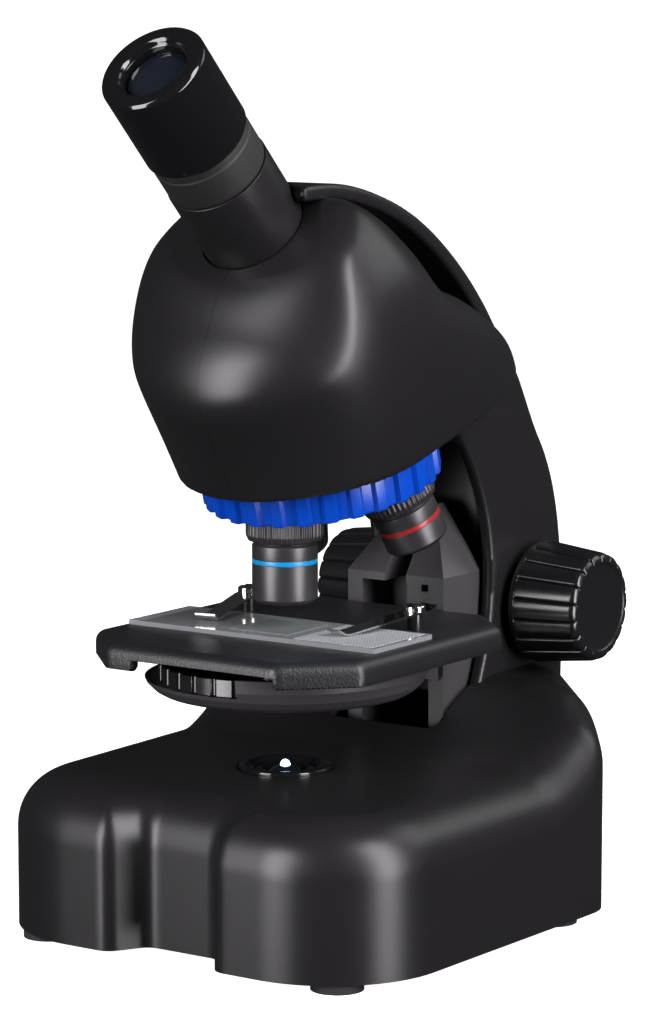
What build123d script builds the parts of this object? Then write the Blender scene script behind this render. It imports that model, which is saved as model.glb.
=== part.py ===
from build123d import *
from math import acos, atan2, cos, degrees, hypot, pi, radians, sin, tan
import os

# Monocular school microscope, millimetres. +Z is up and the user sits on the -Y side.
# The origin is on the table, under the middle of the whole instrument.
# The optical axis is vertical, at x = 0 and y = OPTICAL_Y. Every sub-part is drawn with
# y = 0 on the optical axis, and save() moves it back by OPTICAL_Y.

os.makedirs("parts", exist_ok=True)

# ---- driving dimensions -------------------------------------------------------------
OPTICAL_Y = -24.6        # the optical axis, from the origin

SLIDE_LENGTH, SLIDE_WIDTH, SLIDE_THICK = 76.0, 26.0, 1.2
SLIDE_Y = -2.8           # middle of the specimen slide
STAGE_TOP = 77.6         # height of the stage's face at rest
STAGE_HALF = 41.4
STAGE_FRONT, STAGE_BACK = -40.9, 50.5
STAGE_CORNER = 15.4      # size of the cut corners
STAGE_THICK = 3.4
STAGE_SKIRT = 6.6        # depth of the stage's rolled rim

BASE_BOTTOM = 2.5
BASE_TOP = 42.5
HUMP_TOP = 58.0          # the base rises to this where the arm stands on it
BASE_WALL = 2.5
TOE_FRONT, RECESS_FRONT = -53.5, -43.5
TOE_CORNER = 31.0
BASE_HALF_FRONT, BASE_HALF_BACK = 60.9, 63.0
REAR_CORNER = 14.0
REAR_TAPER = 40.0        # degrees that the rear sides lean in
BASE_SIDE_END = 48.8     # where the sides end and the rear corners begin
BASE_TAPER_RUN = 62.3    # length of each leaning rear side
BASE_EDGE = 13.0         # rounding along the top edge

ARM_HALF = 19.5
ARM_WALL = 2.4
POCKET_HALF = 16.0       # the straight pocket that the stage carriage runs in
POCKET_BACK = 71.0

TURRET_TILT = 15.0       # degrees between the turret's axis and the optical axis
APEX_Z = 175.6           # where the turret's axis crosses the optical axis
RING_BOTTOM = 63.75      # distances along the turret's axis, down from the apex
RING_HEIGHT = 9.6
RING_RADIUS = 28.9
RING_FLUTES = 28

TUBE_TILT = 45.0
TUBE_RADIUS = 13.4
TUBE_FACE = (-13.8, 180.6)   # (y, z) where the tube's axis leaves the head
TUBE_VISIBLE = 21.0
SLEEVE_VISIBLE = 11.0
EYEPIECE_RADIUS, EYEPIECE_LENGTH = 13.6, 25.6

KNOB_Y, KNOB_Z = 87.6, 75.4
KNOB_INNER, KNOB_OUTER = 21.8, 41.7
KNOB_RADIUS_IN, KNOB_RADIUS_OUT = 16.4, 14.6
KNOB_FLUTES = 16
PINION_TEETH, GEAR_MODULE = 16, 0.5
SHAFT_RADIUS = 2.5

HEAD_WALL = 2.4
DRUM_RADIUS, DRUM_BOTTOM = 36.8, 62.5
WHEEL_RADIUS, WHEEL_Y = 28.2, -6.8
WHEEL_FLUTES = 30
RUNNING_GAP = 0.05


# ---- helpers ------------------------------------------------------------------------
def save(node, *solids):
    """Write one sub-part, moved from the optical axis to the part's own origin."""
    placed = [Pos(0, OPTICAL_Y, 0) * solid for solid in solids]
    shape = placed[0] if len(placed) == 1 else Compound(children=placed)
    export_step(shape, f"parts/{node}.step")


def block(x0, x1, y0, y1, z0, z1):
    return Pos((x0 + x1) / 2, (y0 + y1) / 2, (z0 + z1) / 2) * Box(x1 - x0, y1 - y0, z1 - z0)


def rod(radius, z0, z1, x=0.0, y=0.0):
    return Pos(x, y, (z0 + z1) / 2) * Cylinder(radius, z1 - z0)


def taper(r0, r1, z0, z1, x=0.0, y=0.0):
    return Pos(x, y, (z0 + z1) / 2) * Cone(r0, r1, z1 - z0)


def turned(*points):
    """A solid of revolution about Z, from its half section (radius, z)."""
    face = make_face(Polyline(*[(r, 0, z) for r, z in points], close=True))
    return revolve(face, Axis.Z)


def along_x(shape):
    """Turn a solid drawn about Z so that its axis lies along +X."""
    return Rot(0, 90, 0) * shape


def side_profile(points, half):
    """Extrude a closed (y, z) outline to both sides of the middle."""
    wire = Polyline(*[(0, y, z) for y, z in points], close=True)
    return extrude(make_face(wire), amount=half, dir=(1, 0, 0), both=True)


def mirrored(shape):
    return mirror(shape, Plane.YZ)


def half(shape, side):
    """Keep the half of a shape on one side of the middle: side is +1 or -1."""
    reach = 200
    x0, x1 = (0, reach) if side > 0 else (-reach, 0)
    return shape & block(x0, x1, -reach, reach, -reach, 2 * reach)


def screw(radius, length, head_radius, head_height):
    """A pan-head screw with a cross recess, its head's underside at z = 0, pointing down."""
    body = rod(radius, -length, 0) + rod(head_radius, 0, head_height)
    body = fillet(body.edges().group_by(Axis.Z)[-1], head_height * 0.4)
    for turn in (0, 90):
        body -= Rot(0, 0, turn) * Pos(0, 0, head_height) * Box(head_radius * 1.1, 0.5, head_height)
    return body


# ---- frames of the tilted pieces ------------------------------------------------------
# The turret's frame has its origin at the apex, with +Z up along the turret's axis.
TURRET = Location((0, 0, APEX_Z), (TURRET_TILT, 0, 0))
# The tube's frame has its origin where the tube leaves the head, with +Z out along the tube.
TUBE = Location((0, TUBE_FACE[0], TUBE_FACE[1]), (TUBE_TILT, 0, 0))


# ---- base ---------------------------------------------------------------------------
def base_outline(inset):
    """The base's closed outline in plan, moved inwards by inset."""
    toe_y, wall_y = TOE_FRONT + inset, RECESS_FRONT + inset
    half_f, half_b = BASE_HALF_FRONT - inset, BASE_HALF_BACK - inset
    corner = TOE_CORNER - inset
    rear = REAR_CORNER - inset
    taper_dir = radians(REAR_TAPER)
    rear_cx = half_b - rear
    rear_end = (rear_cx + rear * cos(taper_dir), BASE_SIDE_END + rear * sin(taper_dir))
    tail = (rear_end[0] - BASE_TAPER_RUN * sin(taper_dir),
            rear_end[1] + BASE_TAPER_RUN * cos(taper_dir))
    tail_c = (tail[0] - rear * cos(taper_dir), tail[1] - rear * sin(taper_dir))
    front_c = (half_f - corner, toe_y + corner)
    mid = radians(-45)
    right = [
        Line((0, wall_y), (10.6 + inset, wall_y)),
        Line((10.6 + inset, wall_y), (15.5 + inset, toe_y)),
        Line((15.5 + inset, toe_y), (front_c[0], toe_y)),
        ThreePointArc((front_c[0], toe_y),
                      (front_c[0] + corner * cos(mid), front_c[1] + corner * sin(mid)),
                      (half_f, front_c[1])),
        Line((half_f, front_c[1]), (half_b, BASE_SIDE_END)),
        ThreePointArc((half_b, BASE_SIDE_END),
                      (rear_cx + rear * cos(taper_dir / 2),
                       BASE_SIDE_END + rear * sin(taper_dir / 2)),
                      rear_end),
        Line(rear_end, tail),
        ThreePointArc(tail,
                      (tail_c[0] + rear * cos((taper_dir + pi / 2) / 2),
                       tail_c[1] + rear * sin((taper_dir + pi / 2) / 2)),
                      (tail_c[0], tail_c[1] + rear)),
        Line((tail_c[0], tail_c[1] + rear), (0, tail_c[1] + rear)),
    ]
    left = [mirror(edge, Plane.YZ) for edge in right]
    return make_face(Wire.combine(right + left)[0])


def above_base(drop):
    """Everything above the base's top: flat in front, rising to the hump behind."""
    low, high = BASE_TOP - drop, HUMP_TOP - drop
    top = Spline((0, 30, low), (0, 51, (low + high) / 2), (0, 70, high),
                 tangents=[(0, 1, 0), (0, 1, 0)])
    lines = [
        Line((0, -80, low), (0, 30, low)), top,
        Line((0, 70, high), (0, 140, high)), Line((0, 140, high), (0, 140, 90)),
        Line((0, 140, 90), (0, -80, 90)), Line((0, -80, 90), (0, -80, low)),
    ]
    return extrude(make_face(Wire(lines)), amount=90, dir=(1, 0, 0), both=True)


def base_block(inset, bottom, edge):
    body = extrude(Pos(0, 0, bottom) * base_outline(inset), amount=70)
    body -= above_base(inset)
    top_edges = [e for e in body.edges() if e.center().Z > BASE_TOP - inset - 1
                 and not (abs(e.center().X) < 0.5 and e.geom_type == GeomType.LINE
                          and abs(e.tangent_at(0.5).X) > 0.9 and 20 < e.center().Y < 80)]
    return fillet(top_edges, edge)



POSTS = [(x, y) for x in (-40, 40) for y in (-24, 50)]
FEET = [(-44.6, -41.2), (44.6, -41.2), (-53.0, 44.4), (53.0, 44.4)]
solid_base = base_block(0, BASE_BOTTOM, BASE_EDGE)
well = (block(-POCKET_HALF, POCKET_HALF, 44, POCKET_BACK, 24, 90)
        + block(-13, 13, POCKET_BACK - 1, 90, 24, 90))


def make_base():
    cavity = base_block(BASE_WALL, BASE_BOTTOM - 0.1, BASE_EDGE - BASE_WALL)
    shell = solid_base - cavity
    for x, y in POSTS:
        top = BASE_TOP - 1.5 if y < 0 else BASE_TOP + 4.9
        shell += rod(4.0, 5.2, top, x, y) - rod(1.45, 5.0, 20, x, y)
    shell -= rod(12.0, 30, 60) + well
    shell -= block(-5.7, 5.7, 100, 120, 12.3, 29.7)
    save("base_shell", shell)

    plate = extrude(Pos(0, 0, BASE_BOTTOM) * base_outline(BASE_WALL + 0.3), amount=2.5)
    plate -= block(-23.5, 23.5, -32.5, 21.5, 2, 6)
    for x, y in POSTS:
        plate -= rod(1.7, 2, 6, x, y) + rod(3.1, 2, 3.9, x, y)
    for side in (-1, 1):
        rail = block(26.2, 28.4, -36, 25, 0.6, BASE_BOTTOM) + block(25.0, 26.3, -36, 25, 0.6, 0.9)
        plate += rail if side > 0 else mirrored(rail)
    save("base_plate", plate)
    save("rubber_feet", *[rod(6.6, 0, BASE_BOTTOM, x, y) for x, y in FEET])
    fixing = Rot(180, 0, 0) * screw(1.4, 10, 2.8, 1.1)
    save("base_screws", *[Pos(x, y, 3.9) * fixing for x, y in POSTS])


def make_battery_bay():
    tray = block(-25, 25, -34, 23, 5.0, 22) - block(-23.5, 23.5, -32.5, 21.5, 4, 20.5)
    save("battery_tray", tray)
    cells, springs = [], []
    for x in (-15.2, 0, 15.2):
        cell = along_y(rod(7.1, -25, 24)) + along_y(rod(2.6, 24, 25))
        cells.append(Pos(x, -5.5, 12.6) * cell)
        for y0, y1 in ((-32.5, -30.5), (19.5, 21.5)):
            springs.append(block(x - 4, x + 4, y0 if y0 < 0 else y1 - 0.4,
                                 y0 + 0.4 if y0 < 0 else y1, 8, 17))
            coil = Cone(3.4, 2.2, 1.6)
            middle = (y0 + y1) / 2 + (0.2 if y0 < 0 else -0.2)
            springs.append(Pos(x, middle, 12.6) * Rot(-90 if y0 < 0 else 90, 0, 0) * coil)
    save("batteries", *cells)
    joined = [springs[i] + springs[i + 1] for i in range(0, len(springs), 2)]
    save("battery_contacts", *joined)
    door = block(-26, 26, -36, 25, 1.0, 2.4)
    for step in range(5):
        door -= block(-12, 12, 14 + step * 2, 15 + step * 2, 0.5, 1.5)
    save("battery_door", door)


def along_y(shape):
    """Turn a solid drawn about Z so that its axis lies along +Y."""
    return Rot(-90, 0, 0) * shape


def make_light():
    save("led_bezel", turned((5.2, 36), (14.0, 36), (14.0, 39.9), (11.9, 39.9), (11.9, 43.2),
                             (10.9, 43.2), (9.6, 41.0), (6.6, 40.2), (5.2, 40.2)))
    lens = rod(5.1, 37.6, 40.0) + (Pos(0, 0, 40.0) * Sphere(5.1) & block(-6, 6, -6, 6, 40.0, 46))
    save("led_lens", lens)
    save("led_board", rod(13.0, 34.4, 36.0))
    save("led_chip", block(-2.2, 2.2, -2.2, 2.2, 36.0, 37.4))


SWITCH_Y, SWITCH_Z = 107.5, 21.0


def make_switch():
    housing = block(-5.6, 5.6, 100, 111.6, 12.4, 29.6) - block(-4.6, 4.6, 102, 113, 13.8, 28.2)
    pin = along_x(rod(0.9, -5.6, 5.6))
    housing += Pos(0, SWITCH_Y, SWITCH_Z) * pin
    save("switch_housing", housing)
    rocker = side_profile([(105.0, 17.5), (105.0, 24.5), (111.0, 27.0), (112.4, 27.0),
                           (111.4, 21.0), (113.4, 15.0), (111.0, 15.0)], 4.3)
    rocker -= Pos(0, SWITCH_Y, SWITCH_Z) * along_x(rod(0.95, -6, 6))
    save("switch_rocker", rocker)


# ---- arm ------------------------------------------------------------------------------
def inset_points(points, distance):
    """Move each point of an open curve sideways, to the right of its direction."""
    moved = []
    for i, (y, z) in enumerate(points):
        y0, z0 = points[max(i - 1, 0)]
        y1, z1 = points[min(i + 1, len(points) - 1)]
        run = hypot(y1 - y0, z1 - z0)
        moved.append((y + distance * (z1 - z0) / run, z - distance * (y1 - y0) / run))
    return moved


ARM_FRONT = [(57.5, 40), (60.8, 54), (64.2, 63), (67.3, 77.6), (66.8, 94), (60.7, 110.8),
             (51.3, 124.3), (44.0, 132.0)]
ARM_REAR = [(80.5, 138.5), (87.5, 130.3), (95.8, 122.0), (103.4, 109.2), (107.6, 94.5),
            (109.6, 75), (109.7, 56), (109.4, 40)]


def arm_profile(inset):
    front, rear = inset_points(ARM_FRONT, inset), inset_points(ARM_REAR, inset)
    wires = [Spline(*[(0, y, z) for y, z in front]), Line((0, *front[-1]), (0, *rear[0])),
             Spline(*[(0, y, z) for y, z in rear]), Line((0, *rear[-1]), (0, *front[0]))]
    return make_face(Wire(wires))


def make_arm():
    outer = extrude(arm_profile(0), amount=ARM_HALF, dir=(1, 0, 0), both=True)
    rear_edges = [e for e in outer.edges() if e.geom_type == GeomType.BSPLINE
                  and e.center().Y > 90]
    outer = fillet(rear_edges, 8.5)
    inner = extrude(arm_profile(ARM_WALL), amount=ARM_HALF - ARM_WALL, dir=(1, 0, 0), both=True)
    inner -= block(-ARM_HALF, ARM_HALF, 0, POCKET_BACK + 2.4, 20, 121)
    arm = outer - inner - solid_base
    rim = RING_BOTTOM - RING_HEIGHT + 0.6
    arm -= TURRET * block(-60, 60, -60, 140, -rim - 0.2, 120)
    neck = TURRET * (block(-14, 14, 31, 48, -rim - 3, -rim + 11)
                     - block(-11.6, 11.6, 33.4, 45.6, -rim - 4, -rim + 12))
    arm += neck
    arm -= block(-POCKET_HALF, POCKET_HALF, 40, POCKET_BACK, 24, 116)
    arm -= block(-3.5, 3.5, 60, POCKET_BACK + 3, 40, 113)
    arm -= Pos(0, KNOB_Y, KNOB_Z) * along_x(rod(4.4, -30, 30))
    bosses = [(98.0, 62.0), (90.0, 112.0)]
    for y, z in bosses:
        boss = Pos(0, y, z) * along_x(rod(3.6, -ARM_HALF + 1, ARM_HALF - 1))
        arm += boss
        arm -= Pos(0, y, z) * along_x(rod(1.55, -ARM_HALF - 1, 12))
        arm -= Pos(-ARM_HALF, y, z) * along_x(rod(3.0, -2, 2.2))
    save("arm_left", half(arm, -1))
    save("arm_right", half(arm, 1))
    fixing = Rot(0, -90, 0) * screw(1.5, 24, 2.8, 1.4)
    save("arm_screws", *[Pos(-ARM_HALF + 2.2, y, z) * fixing for y, z in bosses])
    for side, name in ((1, "shaft_bush_right"), (-1, "shaft_bush_left")):
        bush = rod(4.4, 15.5, ARM_HALF) + rod(6.2, ARM_HALF, ARM_HALF + 1.4)
        bush -= rod(SHAFT_RADIUS + RUNNING_GAP, 10, 30)
        bush = Pos(0, KNOB_Y, KNOB_Z) * along_x(bush)
        save(name, bush if side > 0 else mirrored(bush))


# ---- head -----------------------------------------------------------------------------
RIM = RING_BOTTOM - RING_HEIGHT + 0.6    # the head's rim, down the turret's axis from the apex
# height above the rim, front, rear and half width of the head, in the turret's directions
HEAD_SECTIONS = [(0, -37.4, 66, 33.5), (14, -41, 55, 35.8), (28, -45.2, 40, 37.0),
                 (38, -46, 30, 37.0), (46, -43.5, 24, 36), (54, -40, 18, 33.5),
                 (61, -35, 14, 29.5), (67, -26, 11, 24), (71, -15, 7, 17)]


def egg(front, rear, half_width, power=2.7, count=28):
    """Points round a closed outline: round in front, squarer and narrower behind."""
    middle = front + half_width
    points = []
    for i in range(count):
        angle = 2 * pi * i / count
        c, s = cos(angle), sin(angle)
        if s <= 0:
            points.append((half_width * c, middle + half_width * s))
        else:
            stretch = (abs(c) ** power + s ** power) ** (-1 / power)
            points.append((half_width * c * stretch, middle + (rear - middle) * s * stretch))
    return points


def head_solid(inset):
    """The head's outer form, or its cavity when inset is the wall."""
    wires = []
    for up, front, rear, half_width in HEAD_SECTIONS:
        outline = egg(front + inset, rear - inset, half_width - inset)
        lift = max(up - inset, -0.5) if inset else up
        wires.append(Polyline(*[(x, v, lift - RIM) for x, v in outline], close=True))
    body = TURRET * loft([make_face(wire) for wire in wires], ruled=True)
    return body - TUBE * block(-80, 80, -80, 80, -inset, 90)


solid_head = head_solid(0)
head_cavity = head_solid(HEAD_WALL)


def handle_profile(drop):
    top = [(-6, 187.5), (4, 190.9), (15.2, 188.8), (29.3, 184.3), (43.5, 177.4), (58.7, 167.3),
           (68.9, 158.6), (80.5, 145.6)]
    return [(0, y, z) for y, z in inset_points(top, drop)]


def make_head():
    shell = solid_head - head_cavity
    shell -= TUBE * rod(TUBE_RADIUS + 0.35, -10, 10)
    boss_spots = [(24.0, 165.0), (36.0, 156.0)]
    for y, z in boss_spots:
        post = Pos(0, y, z) * along_x(rod(3.4, -40, 40)) & solid_head
        shell += post
        shell -= Pos(0, y, z) * along_x(rod(1.55, -45, 12))
        shell -= Pos(-22, y, z) * along_x(rod(3.0, -30, 0))
    save("head_left", half(shell, -1))
    save("head_right", half(shell, 1))
    fixing = Rot(0, -90, 0) * screw(1.5, 22, 2.8, 1.4)
    save("head_screws", *[Pos(-22, y, z) * fixing for y, z in boss_spots])

    outer, inner = handle_profile(0), handle_profile(4.0)
    wires = [Spline(*outer), Line(outer[-1], inner[-1]), Spline(*inner[::-1]),
             Line(inner[0], outer[0])]
    strap = extrude(make_face(Wire(wires)), amount=16, dir=(1, 0, 0), both=True)
    strap = fillet([e for e in strap.edges() if e.geom_type == GeomType.BSPLINE], 1.2)
    strap -= solid_head
    strap -= TUBE * rod(TUBE_RADIUS + 0.35, -20, 60)
    save("carry_handle", max(strap.solids(), key=lambda solid: solid.volume))

    tube = rod(TUBE_RADIUS, -12, TUBE_VISIBLE) + rod(15.2, -HEAD_WALL - 2.6, -HEAD_WALL)
    tube -= rod(12.2, -40, 40)
    save("eyepiece_tube", TUBE * tube)

    mirror_frame = Location((0, 0, APEX_Z - 8.8), (-67.5, 0, 0))
    save("mirror", mirror_frame * block(-11, 11, -12, 12, 0, 2))
    mount = mirror_frame * block(-60, 60, -9, 9, 2, 4.5) & head_cavity
    save("mirror_mount", max(mount.solids(), key=lambda solid: solid.volume))

    plate = TURRET * block(-60, 60, -60, 31, 2 - RIM, 4.5 - RIM) & head_cavity
    plate -= TURRET * rod(3.0, -RIM, 10 - RIM)
    plate -= rod(7.5, 100, 150)
    save("turret_base", plate)


# ---- turret ---------------------------------------------------------------------------
PIVOT_RADIUS = 3.0


def objective_frame(index):
    """Origin at the apex, +Z up along the objective. Index 0 stands on the optical axis."""
    return TURRET * Rot(0, 0, 120 * index) * Rot(-TURRET_TILT, 0, 0)


# name, index on the turret, distance from the apex to the front end
OBJECTIVES = [("mid", 0, 90.6), ("low", 1, 86.5), ("high", 2, 91.0)]
COLLAR_TOP, COLLAR_END, BAND_AT = 64.0, 75.1, 79.3
COLLAR_RADIUS, BARREL_RADIUS = 10.0, 8.4


def objective_outline(end):
    return turned((6.0, -57.5), (7.2, -57.5), (7.2, -COLLAR_TOP), (COLLAR_RADIUS, -COLLAR_TOP),
                  (COLLAR_RADIUS, -COLLAR_END), (BARREL_RADIUS, -COLLAR_END),
                  (BARREL_RADIUS, -BAND_AT), (8.1, -BAND_AT), (8.1, -BAND_AT - 1.2),
                  (BARREL_RADIUS, -BAND_AT - 1.2), (BARREL_RADIUS, 1.4 - end), (7.5, -end),
                  (4.6, -end), (3.6, 1.6 - end), (3.6, 4.0 - end), (6.0, 4.0 - end))


def make_turret():
    ring = rod(RING_RADIUS, -RING_BOTTOM, RING_HEIGHT - RING_BOTTOM)
    for i in range(RING_FLUTES):
        flute = Pos(RING_RADIUS + 2.2, 0, 0) * rod(3.2, -RING_BOTTOM - 1, 1 - RING_BOTTOM + RING_HEIGHT)
        ring -= Rot(0, 0, (i + 0.5) * 360 / RING_FLUTES) * flute
    ring -= rod(26.0, 3.0 - RING_BOTTOM, 30 - RING_BOTTOM)
    ring += rod(7.0, -RING_BOTTOM, 8.6 - RING_BOTTOM)
    ring -= rod(PIVOT_RADIUS + RUNNING_GAP, -RING_BOTTOM - 5, 20 - RING_BOTTOM)
    ring = TURRET * ring
    for name, index, end in OBJECTIVES:
        place = objective_frame(index)
        ring -= place * (rod(COLLAR_RADIUS, -COLLAR_END, -COLLAR_TOP) + rod(7.2, -COLLAR_TOP, -50))
        save(f"objective_{name}_barrel", place * objective_outline(end))
        band = rod(BARREL_RADIUS, -BAND_AT - 1.2, -BAND_AT) - rod(8.1, -BAND_AT - 2, 1 - BAND_AT)
        save(f"objective_{name}_band", place * band)
        save(f"objective_{name}_lens", place * rod(3.6, 2.0 - end, 3.8 - end))
    save("turret_ring", ring)
    pivot = rod(PIVOT_RADIUS, -RING_BOTTOM - 0.1, 7 - RIM)
    pivot += rod(5.4, -RING_BOTTOM - 2.4, -RING_BOTTOM - 0.1)
    pivot += rod(5.4, 4.5 - RIM, 7 - RIM)
    save("turret_pivot", TURRET * pivot)


# ---- eyepiece -------------------------------------------------------------------------
def make_eyepiece():
    joint, top = TUBE_VISIBLE + SLEEVE_VISIBLE, TUBE_VISIBLE + SLEEVE_VISIBLE + EYEPIECE_LENGTH
    sleeve = turned((10.6, 5), (12.15, 5), (12.15, 21.1), (13.1, 21.1), (13.1, joint), (10.6, joint))
    save("eyepiece_sleeve", TUBE * sleeve)
    body = turned((9.5, joint), (EYEPIECE_RADIUS - 0.4, joint), (EYEPIECE_RADIUS, joint + 0.4),
                  (EYEPIECE_RADIUS, top - 0.8), (EYEPIECE_RADIUS - 0.8, top), (10.0, top),
                  (9.2, top - 0.7), (8.3, top - 1.2), (8.3, top - 4.5), (7.2, top - 4.5),
                  (7.2, top - 7.5), (9.5, top - 7.5))
    save("eyepiece_body", TUBE * body)
    cap = Pos(0, 0, top - 15.6) * Sphere(13.6) & block(-9, 9, -9, 9, top - 4.4, top)
    lens = rod(8.2, top - 4.4, top - 3.6) + (cap & rod(8.2, top - 4.4, top))
    save("eye_lens", TUBE * lens)
    save("field_lens", TUBE * rod(9.4, joint + 1, joint + 3.5))


# ---- stage ----------------------------------------------------------------------------
CLIP_POST = (26.2, 20.3)
CLIP_HEIGHT = 81.7
STAGE_BOTTOM = STAGE_TOP - STAGE_SKIRT


def stage_outline(inset):
    w, f, b, c = STAGE_HALF - inset, STAGE_FRONT + inset, STAGE_BACK - inset, STAGE_CORNER - inset * 0.6
    rear = 12.5
    points = [(-w + c, f), (w - c, f), (w, f + c), (w, b - rear), (w - rear, b), (-w + rear, b),
              (-w, b - rear), (-w, f + c)]
    return make_face(Polyline(*points, close=True))


def make_stage():
    plate = extrude(Pos(0, 0, STAGE_BOTTOM) * stage_outline(0), amount=STAGE_SKIRT)
    plate = fillet(plate.edges().group_by(Axis.Z)[-1], 2.2)
    plate = fillet([e for e in plate.edges().filter_by(Axis.Z) if e.length > 2], 2.0)
    plate -= extrude(Pos(0, 0, STAGE_BOTTOM - 1) * stage_outline(2.4),
                     amount=1 + STAGE_SKIRT - STAGE_THICK)
    plate -= block(-18, 25, -60, -30, STAGE_BOTTOM - 1, STAGE_BOTTOM + 2.7)
    plate -= rod(6.0, 60, 90)
    for side in (-1, 1):
        plate -= rod(1.5, 60, 90, side * CLIP_POST[0], CLIP_POST[1])
    save("stage_plate", plate)

    posts, screws, x, y = [], [], *CLIP_POST
    for side in (-1, 1):
        posts.append(rod(2.0, STAGE_TOP, CLIP_HEIGHT - 0.1, side * x, y) - rod(1.5, 60, 90, side * x, y))
        screws.append(Pos(side * x, y, CLIP_HEIGHT + 0.6) * screw(1.5, 8.5, 2.8, 1.6))
    save("clip_posts", *posts)
    save("clip_screws", *screws)

    for side, name in ((1, "stage_clip_right"), (-1, "stage_clip_left")):
        line = [(5.0, 1.4), (2.6, 0), (-2.6, 0), (-24.0, -2.55), (-26.2, -2.55), (-28.6, -1.2)]
        strip = [(0, y, z) for y, z in line] + [(0, y, z + 0.5) for y, z in line[::-1]]
        clip = extrude(make_face(Polyline(*strip, close=True)), amount=2.8, dir=(1, 0, 0), both=True)
        clip -= rod(1.58, -2, 2)
        swing = degrees(atan2(6.0, 26.0)) * -side
        save(name, Pos(side * x, y, CLIP_HEIGHT) * Rot(0, 0, swing) * clip)

    under = STAGE_TOP + 0.05
    glass_top = under + SLIDE_THICK
    y0, y1 = SLIDE_Y - SLIDE_WIDTH / 2, SLIDE_Y + SLIDE_WIDTH / 2
    x1 = SLIDE_LENGTH / 2
    save("specimen_slide", block(-x1, x1, y0, y1, under, glass_top))
    save("slide_cover", block(-9, 9, SLIDE_Y - 9, SLIDE_Y + 9, glass_top, glass_top + 0.15))
    save("slide_label", block(13, x1 - 1.5, y0 + 1, y1 - 1, glass_top, glass_top + 0.1))


def make_carriage():
    outer, inner = 15.2, 10.6
    front, back = STAGE_BACK + 0.1, 69.0
    low, lip, peak = 41.5, 85.5, 103.2
    legs = block(inner, outer, front, back, low, lip) + block(-outer, -inner, front, back, low, lip)
    body = legs + block(-outer, outer, 64.0, back, 62, lip)
    body += block(-outer, outer, front, back, 83.4, lip) + block(3.4, outer, front + 0.6, 60, 62, lip)
    lower = Plane.XY.offset(lip) * Pos(0, (front + back) / 2) * Rectangle(2 * outer, back - front)
    upper = Plane.XY.offset(peak) * Pos(0, 64.4) * Rectangle(10, 4)
    body += loft([lower.face(), upper.face()])
    body -= block(-3.4, 3.4, 40, 63.5, 62.5, 110)
    body -= block(-inner, -3.4, 40, 64, 62.5, 83.4)
    body -= block(7.8, 10.0, 40, 58, 81.4, 83.4)
    body += block(-2.9, 2.9, back - 1, 73.5, 62, 98)
    save("stage_carriage", body)
    save("carriage_keeper", block(-12, 12, 73.5, 76.5, 61, 99))


def make_filter():
    top = STAGE_BOTTOM
    shell = turned((0, DRUM_BOTTOM), (32.0, DRUM_BOTTOM), (33.6, DRUM_BOTTOM + 0.9),
                   (35.4, DRUM_BOTTOM + 2.7), (36.5, DRUM_BOTTOM + 5.2), (DRUM_RADIUS, top), (0, top))
    shell -= rod(35.3, 65.9, 90) + rod(9.0, 50, 90)
    shell -= block(-60, 10, -60, -5, 66.2, 90)
    shell += block(-12, 12, 33, STAGE_BACK + 0.1, DRUM_BOTTOM, 65.9)
    for side in (-1, 1):
        rib = side_profile([(34, DRUM_BOTTOM), (STAGE_BACK + 0.1, 58), (STAGE_BACK + 0.1, 65.9),
                            (34, 65.9)], 1.0)
        shell += Pos(side * 12.6, 0, 0) * rib
    shell += rod(4.0, 65.8, 66.3, 0, WHEEL_Y) - rod(9.0, 50, 90)
    save("filter_housing", shell)

    wheel = rod(WHEEL_RADIUS, 66.4, STAGE_BOTTOM - 0.5, 0, WHEEL_Y)
    for i in range(WHEEL_FLUTES):
        groove = Pos(WHEEL_RADIUS + 0.3, 0, 0) * rod(1.0, 60, 80)
        wheel -= Pos(0, WHEEL_Y, 0) * Rot(0, 0, i * 360 / WHEEL_FLUTES) * groove
    wheel -= rod(WHEEL_RADIUS - 2.2, 68.4, 80, 0, WHEEL_Y) + rod(2.05, 60, 80, 0, WHEEL_Y)
    for i in range(6):
        angle = radians(90 + 60 * i)
        wheel -= rod(2.6 - 0.25 * i, 60, 80, 6.8 * cos(angle), WHEEL_Y + 6.8 * sin(angle))
    save("filter_wheel", wheel)
    save("filter_pivot", rod(2.0, 66.3, STAGE_BOTTOM + 0.2, 0, WHEEL_Y))


# ---- focus drive ----------------------------------------------------------------------
def pinion_outline(thin):
    """Involute teeth, thinned by thin on each flank, with one tooth pointing along +X."""
    pitch, pressure = PINION_TEETH * GEAR_MODULE / 2, radians(20)
    base, tip, root = pitch * cos(pressure), pitch + 0.8 * GEAR_MODULE, pitch - 1.15 * GEAR_MODULE
    half_tooth = pi / (2 * PINION_TEETH) - thin / pitch + tan(pressure) - pressure
    flank = []
    for step in range(6):
        radius = max(base, root) + (tip - max(base, root)) * step / 5
        roll = acos(base / radius)
        flank.append((radius, half_tooth - (tan(roll) - roll)))
    points = []
    for tooth in range(PINION_TEETH):
        middle = 2 * pi * tooth / PINION_TEETH
        side = [(root, flank[0][1])] + flank
        for radius, angle in side:
            points.append((radius * cos(middle - angle), radius * sin(middle - angle)))
        for radius, angle in reversed(side):
            points.append((radius * cos(middle + angle), radius * sin(middle + angle)))
    return make_face(Polyline(*points, close=True))


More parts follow.
